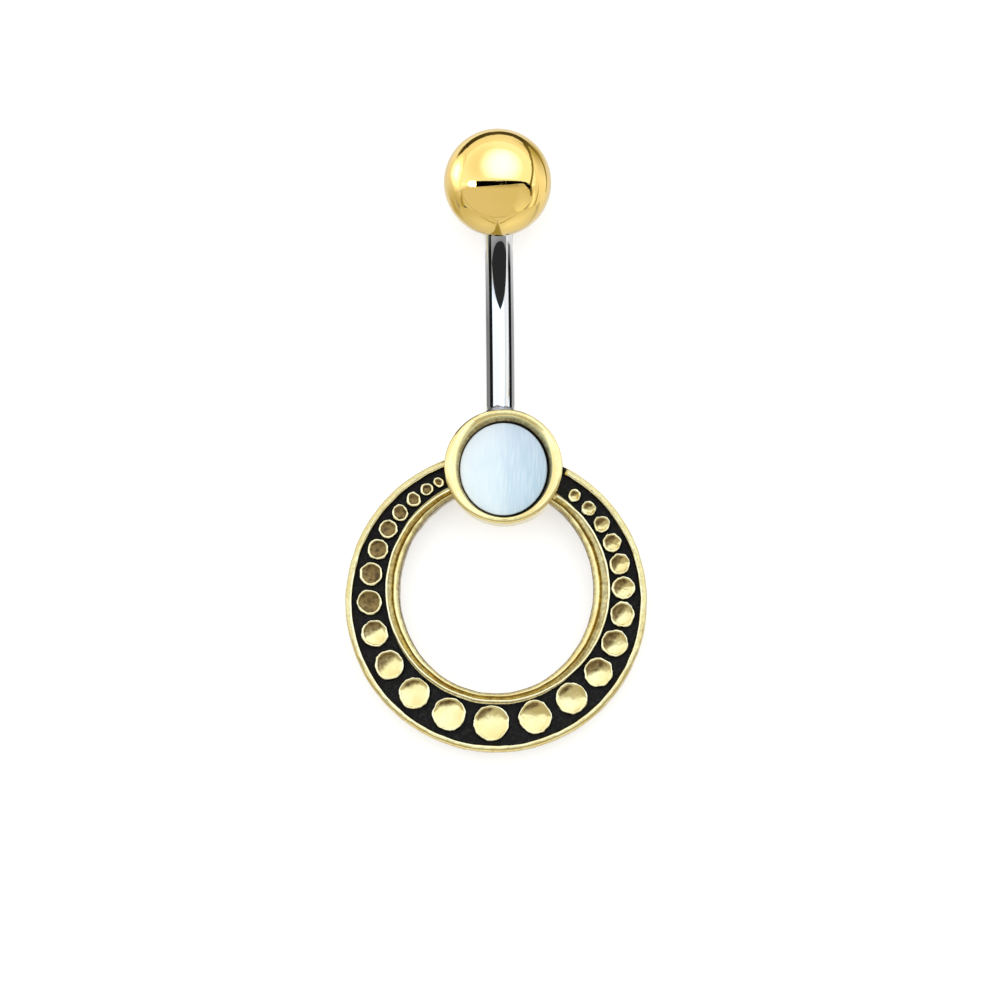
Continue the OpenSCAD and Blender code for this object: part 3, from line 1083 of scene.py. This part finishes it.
card_beside_bar("black_left", (-4.9, -4.9), (0.0, 2.9), 0.01, 0.2, 14)
card_beside_bar("black_right", (1.7, 1.7), (0.06, 0.86), 0.01, 0.25, 14)
card_beside_bar("grey_left", (-12, -0.6), (-9, -9), 0.24, 0.6, 9)
card_beside_bar("grey_right", (0.6, 9), (-9, -9), 0.42, 0.7, 9)
card_beside_bar("white_right", (7.5, 7.5), (2.8, 9.4), 1.1, 0.8, 9, upper=0.82)


POINT_X, POINT_Z, WIDER = 0.3, 4.5, 1.1


def both_sides(half):
    """The row of points of a half, which is wider on the right, with its image on the left in front."""
    left = [(POINT_X - x, y, POINT_Z) for x, y in reversed(half[1:])]
    return left + [(POINT_X + WIDER * x, y, POINT_Z) for x, y in half]


front, back, beyond = [both_sides(half) for half in (
    [(0, 7.43), (1.0, 7.63), (2.2, 7.9), (3.6, 8.22), (5.0, 8.52), (5.9, 8.64)],
    [(0, 10.1), (1.0, 10.0), (2.2, 9.7), (3.6, 9.25), (5.0, 8.85), (5.9, 8.68)],
    [(x, 11.2) for x in (0, 1.0, 2.2, 3.6, 5.0, 5.9)])]
card("grey_beyond", [back, beyond], [[0.25] * len(back), [0.75] * len(back)], leaned)
card("black_pointed", [front, back], 0.025, leaned)

# %% [markdown]
# ## Cards for the ball
# A ball shows the whole room, so a card can be put anywhere, but where does it show? The helper answers the
# other way round. It takes a spot on the ball as the camera sees it, in radii from the ball's middle, and
# follows the reflected ray out from there. A strip is then a path on the ball with a width.

# %% Cards for the ball
to_camera = (camera.matrix_world.translation / MM - ball_middle).normalized()
screen_x = camera.matrix_world.to_3x3().col[0]
screen_x = (screen_x - to_camera * screen_x.dot(to_camera)).normalized()
facing = Matrix((screen_x, to_camera.cross(screen_x), to_camera)).transposed()


def seen_in_ball(across, up, far):
    """The point, that far along the reflected ray or on the floor, that shows at this spot of the ball."""
    normal = Vector((across, up, sqrt(max(0.01, 1 - across ** 2 - up ** 2))))
    spot = ball_middle + facing @ normal * BALL_R
    way = facing @ (2 * normal.z * normal - Vector((0, 0, 1)))
    if way.z < 0:
        far = min(far, (spot.z - 0.05) / -way.z)
    return spot + way * far


def strip_in_ball(name, path, far, warm=True, edge=None):
    """A card that shows as a strip. A stop of its path is (radius, degrees, half its width, brightness)."""
    middle = [Vector((r * cos(radians(turn)), r * sin(radians(turn)))) for r, turn, _, _ in path]
    rows, tones = [], []
    for side in (-1, -0.5, 0, 0.5, 1):
        row = []
        for k, (_, _, half, _) in enumerate(path):
            along = (middle[min(k + 1, len(path) - 1)] - middle[max(k - 1, 0)]).normalized()
            spot = middle[k] + Vector((-along.y, along.x)) * side * half
            row.append(seen_in_ball(spot.x, spot.y, far))
        rows.append(row)
        kept = 1 - abs(side) if edge is not None else 1
        tones.append([tone * kept + (edge or 0) * (1 - kept) for _, _, _, tone in path])
    card(name, rows, tones, warm=warm)


print("the ball's middle:", [round(part, 2) for part in ball_middle])

# %% [markdown]
# ## What the ball shows
# A black slit with a white window at its left end, dark arcs along its upper edge and its right side, a
# bright window on the left, and near its foot two pale lobes with the bar's own image between them.

# %% What the ball shows
strip_in_ball("black_slit", [
    (0.40, 184, 0.052, 0), (0.2, 186, 0.05, 0), (0.03, 200, 0.045, 0), (0.25, -1, 0.034, 0),
    (0.42, 0, 0.022, 0), (0.50, -1, 0.022, 0), (0.555, -5, 0.034, 0), (0.60, -10, 0.028, 0),
    (0.63, -14, 0.01, 0.1)], 4, warm=False)
strip_in_ball("white_window", [
    (0.545, 182, 0.02, 9), (0.52, 183, 0.045, 9), (0.48, 183, 0.055, 9),
    (0.40, 184, 0.052, 9)], 4, warm=False)
strip_in_ball("dark_arc", [
    (0.86, 154, 0.008, 0.6), (0.875, 143, 0.024, 0.14), (0.882, 130, 0.034, 0.06),
    (0.90, 110, 0.034, 0.08), (0.912, 90, 0.030, 0.1), (0.915, 72, 0.030, 0.08), (0.90, 58, 0.032, 0.08),
    (0.90, 46, 0.022, 0.2), (0.905, 30, 0.014, 0.3), (0.908, 10, 0.013, 0.35),
    (0.908, -12, 0.008, 0.55)], 30)
strip_in_ball("brown_curve", [
    (0.87, 56, 0.025, 0.12), (0.83, 47, 0.025, 0.2), (0.775, 38, 0.020, 0.28), (0.705, 23, 0.018, 0.3),
    (0.645, 9, 0.018, 0.32), (0.61, -3, 0.020, 0.2), (0.62, -11, 0.026, 0.1), (0.66, -20, 0.018, 0.32),
    (0.70, -37, 0.018, 0.4), (0.73, -52, 0.012, 0.55), (0.75, -64, 0.004, 0.7)], 9)
strip_in_ball("bright_curve", [
    (0.68, -8, 0.01, 1.0), (0.72, -20, 0.022, 1.3), (0.76, -38, 0.018, 1.2), (0.79, -52, 0.008, 1)], 8)
strip_in_ball("thin_curve", [
    (0.76, -4, 0.004, 0.8), (0.775, -18, 0.009, 0.5), (0.80, -32, 0.009, 0.5),
    (0.82, -44, 0.004, 0.8)], 7)
strip_in_ball("white_left", [
    (0.80, 139, 0.05, 1.0), (0.79, 150, 0.09, 1.8), (0.78, 160, 0.11, 5), (0.78, 170, 0.11, 5),
    (0.76, 180, 0.09, 2.4), (0.74, 192, 0.06, 0.9)], 6, edge=1.0)
strip_in_ball("brown_left", [
    (0.64, 190, 0.006, 0.8), (0.69, 197, 0.02, 0.55), (0.74, 205, 0.04, 0.38), (0.77, 213, 0.05, 0.38),
    (0.80, 224, 0.03, 0.7)], 6, edge=0.75)
strip_in_ball("olive_left", [
    (0.89, 190, 0.02, 0.8), (0.90, 202, 0.045, 0.55), (0.92, 214, 0.05, 0.48),
    (0.93, 230, 0.03, 0.7)], 5, edge=0.7)
strip_in_ball("lobe_left", [
    (0.82, 212, 0.01, 0.66), (0.81, 224, 0.10, 0.72), (0.80, 240, 0.16, 0.85), (0.80, 255, 0.16, 0.92),
    (0.83, 267, 0.15, 0.85)], 0.45, edge=0.74)
strip_in_ball("lobe_right", [
    (0.83, 273, 0.15, 0.95), (0.80, 285, 0.16, 1.1), (0.80, 300, 0.16, 1.05), (0.81, 316, 0.10, 0.95),
    (0.82, 330, 0.01, 0.9)], 0.45, edge=0.8)
strip_in_ball("contour_left", [
    (0.70, 238, 0.004, 0.72), (0.71, 252, 0.010, 0.6), (0.76, 267, 0.010, 0.5)], 0.4)
strip_in_ball("contour_right", [
    (0.76, 273, 0.010, 0.5), (0.70, 288, 0.010, 0.62), (0.69, 304, 0.004, 0.76)], 0.4)
strip_in_ball("stem", [
    (0.76, 270, 0.010, 0.55), (0.83, 270, 0.02, 0.42), (0.90, 269.5, 0.05, 0.4),
    (0.97, 269, 0.13, 0.36)], 0.3)

# %% [markdown]
# ## The ground as the ball sees it
# The lower half of a ball shows the ground round it. One wide round card lies there. Its brightness is
# given by chains of stops, (degrees, value), one for each of its rings, and numpy reads the values between
# them.

# %% The ground as the ball sees it
ROUND_STEP = 5
near_ball = [(-90, 0.8), (-50, 0.9), (-26, 0.95), (7, 1.15), (25, 0.8), (43, 0.46), (55, 0.66), (75, 1.0),
             (150, 1.05), (180, 0.9), (200, 0.6), (225, 0.5), (240, 0.8), (270, 0.8)]
far_off = [(-90, 0.84), (-25, 0.86), (-8, 0.95), (8, 1.1), (165, 1.1), (180, 0.95), (200, 0.8), (270, 0.84)]
even = [(0, 0.85)]
turns = range(-90, 271, ROUND_STEP)
rows = [(3.3, even), (5.5, even), (7.5, near_ball), (12, near_ball), (40, far_off), (400, far_off)]
edges = [[(ball_middle.x + radius * cos(radians(turn)), ball_middle.y + radius * sin(radians(turn)), 0.01)
          for turn in turns] for radius, _ in rows]
card("round_ball", edges, [[interp(turn, *zip(*stops)) for turn in turns] for _, stops in rows], warm=True)
print("its rings:", [radius for radius, _ in rows], "mm")

# %% [markdown]
# ## Lamps for chosen pieces
# The ball was lit more evenly than the charm and it caught a broad soft glow. Cycles can link a lamp to
# chosen pieces, so one dim lamp lifts the near half of the tent for the ball only and another one makes the
# glow. A lamp's own nodes can read the place on the lamp, which gives both of them soft edges. A third lamp
# stands low in front and lights only the hoop and the setting, whose near walls would otherwise be too
# dark.


# %% Lamps for chosen pieces
def linked_lamp(name, middle, size, colour, pieces, tilt=0.0):
    """A flat lamp that lights these pieces alone. colour is how it shows in a mirror. What comes back is its
    shader and the way from the ball's middle to a spot on the lamp."""
    width, length = size
    data = bpy.data.lights.new(name, "AREA")
    made = placed(name, data)
    data.shape, data.size, data.size_y = "RECTANGLE", width * MM, length * MM
    data.energy = pi * width * length * MM * MM
    data.color = colour
    data.use_nodes = True
    made.location = Vector(middle) * MM
    made.rotation_euler.x = tilt
    made.visible_camera = False
    group = bpy.data.collections.new(name + "_lights")
    for piece in pieces:
        group.objects.link(piece)
    made.light_linking.receiver_collection = group
    spot = node(data.node_tree, "ShaderNodeNewGeometry", output="Position")
    return data.node_tree.nodes["Emission"], vector_calc("SUBTRACT", spot, ball_middle * MM)


LAMP_UP = 50
LAMP_LONG, LAMP_WIDE = 1500, 3000
shader, from_ball = linked_lamp("near_half", (0, ball_middle.y - LAMP_LONG / 2, LAMP_UP),
                                (LAMP_WIDE, LAMP_LONG), (0.26, 0.25, 0.25), [ball])
fill(shader, {"Strength": fade(parts(from_ball)[1], -12 * MM, -20 * MM)})

GLOW_WIDE = 150
glow_at = ball_middle + (LAMP_UP - ball_middle.z) * Vector((0.13, 0.60, 0.82)) / 0.82
shader, from_ball = linked_lamp("glow", glow_at, (GLOW_WIDE, GLOW_WIDE), (1.0, 1.3, 3.0), [ball])
glow_way = Vector((0.13, 0.50, 0.86)).normalized()
near = vector_calc("DOT_PRODUCT", vector_calc("NORMALIZE", from_ball), glow_way)
fill(shader, {"Strength": fade(near, 0.66, 1.03)})

linked_lamp("front", (0, HOOP_Y - 60, 14), (110, 22), (0.9, 0.9, 0.9), [hoop, setting], pi / 2)
bpy.context.scene.view_settings.view_transform = "Standard"
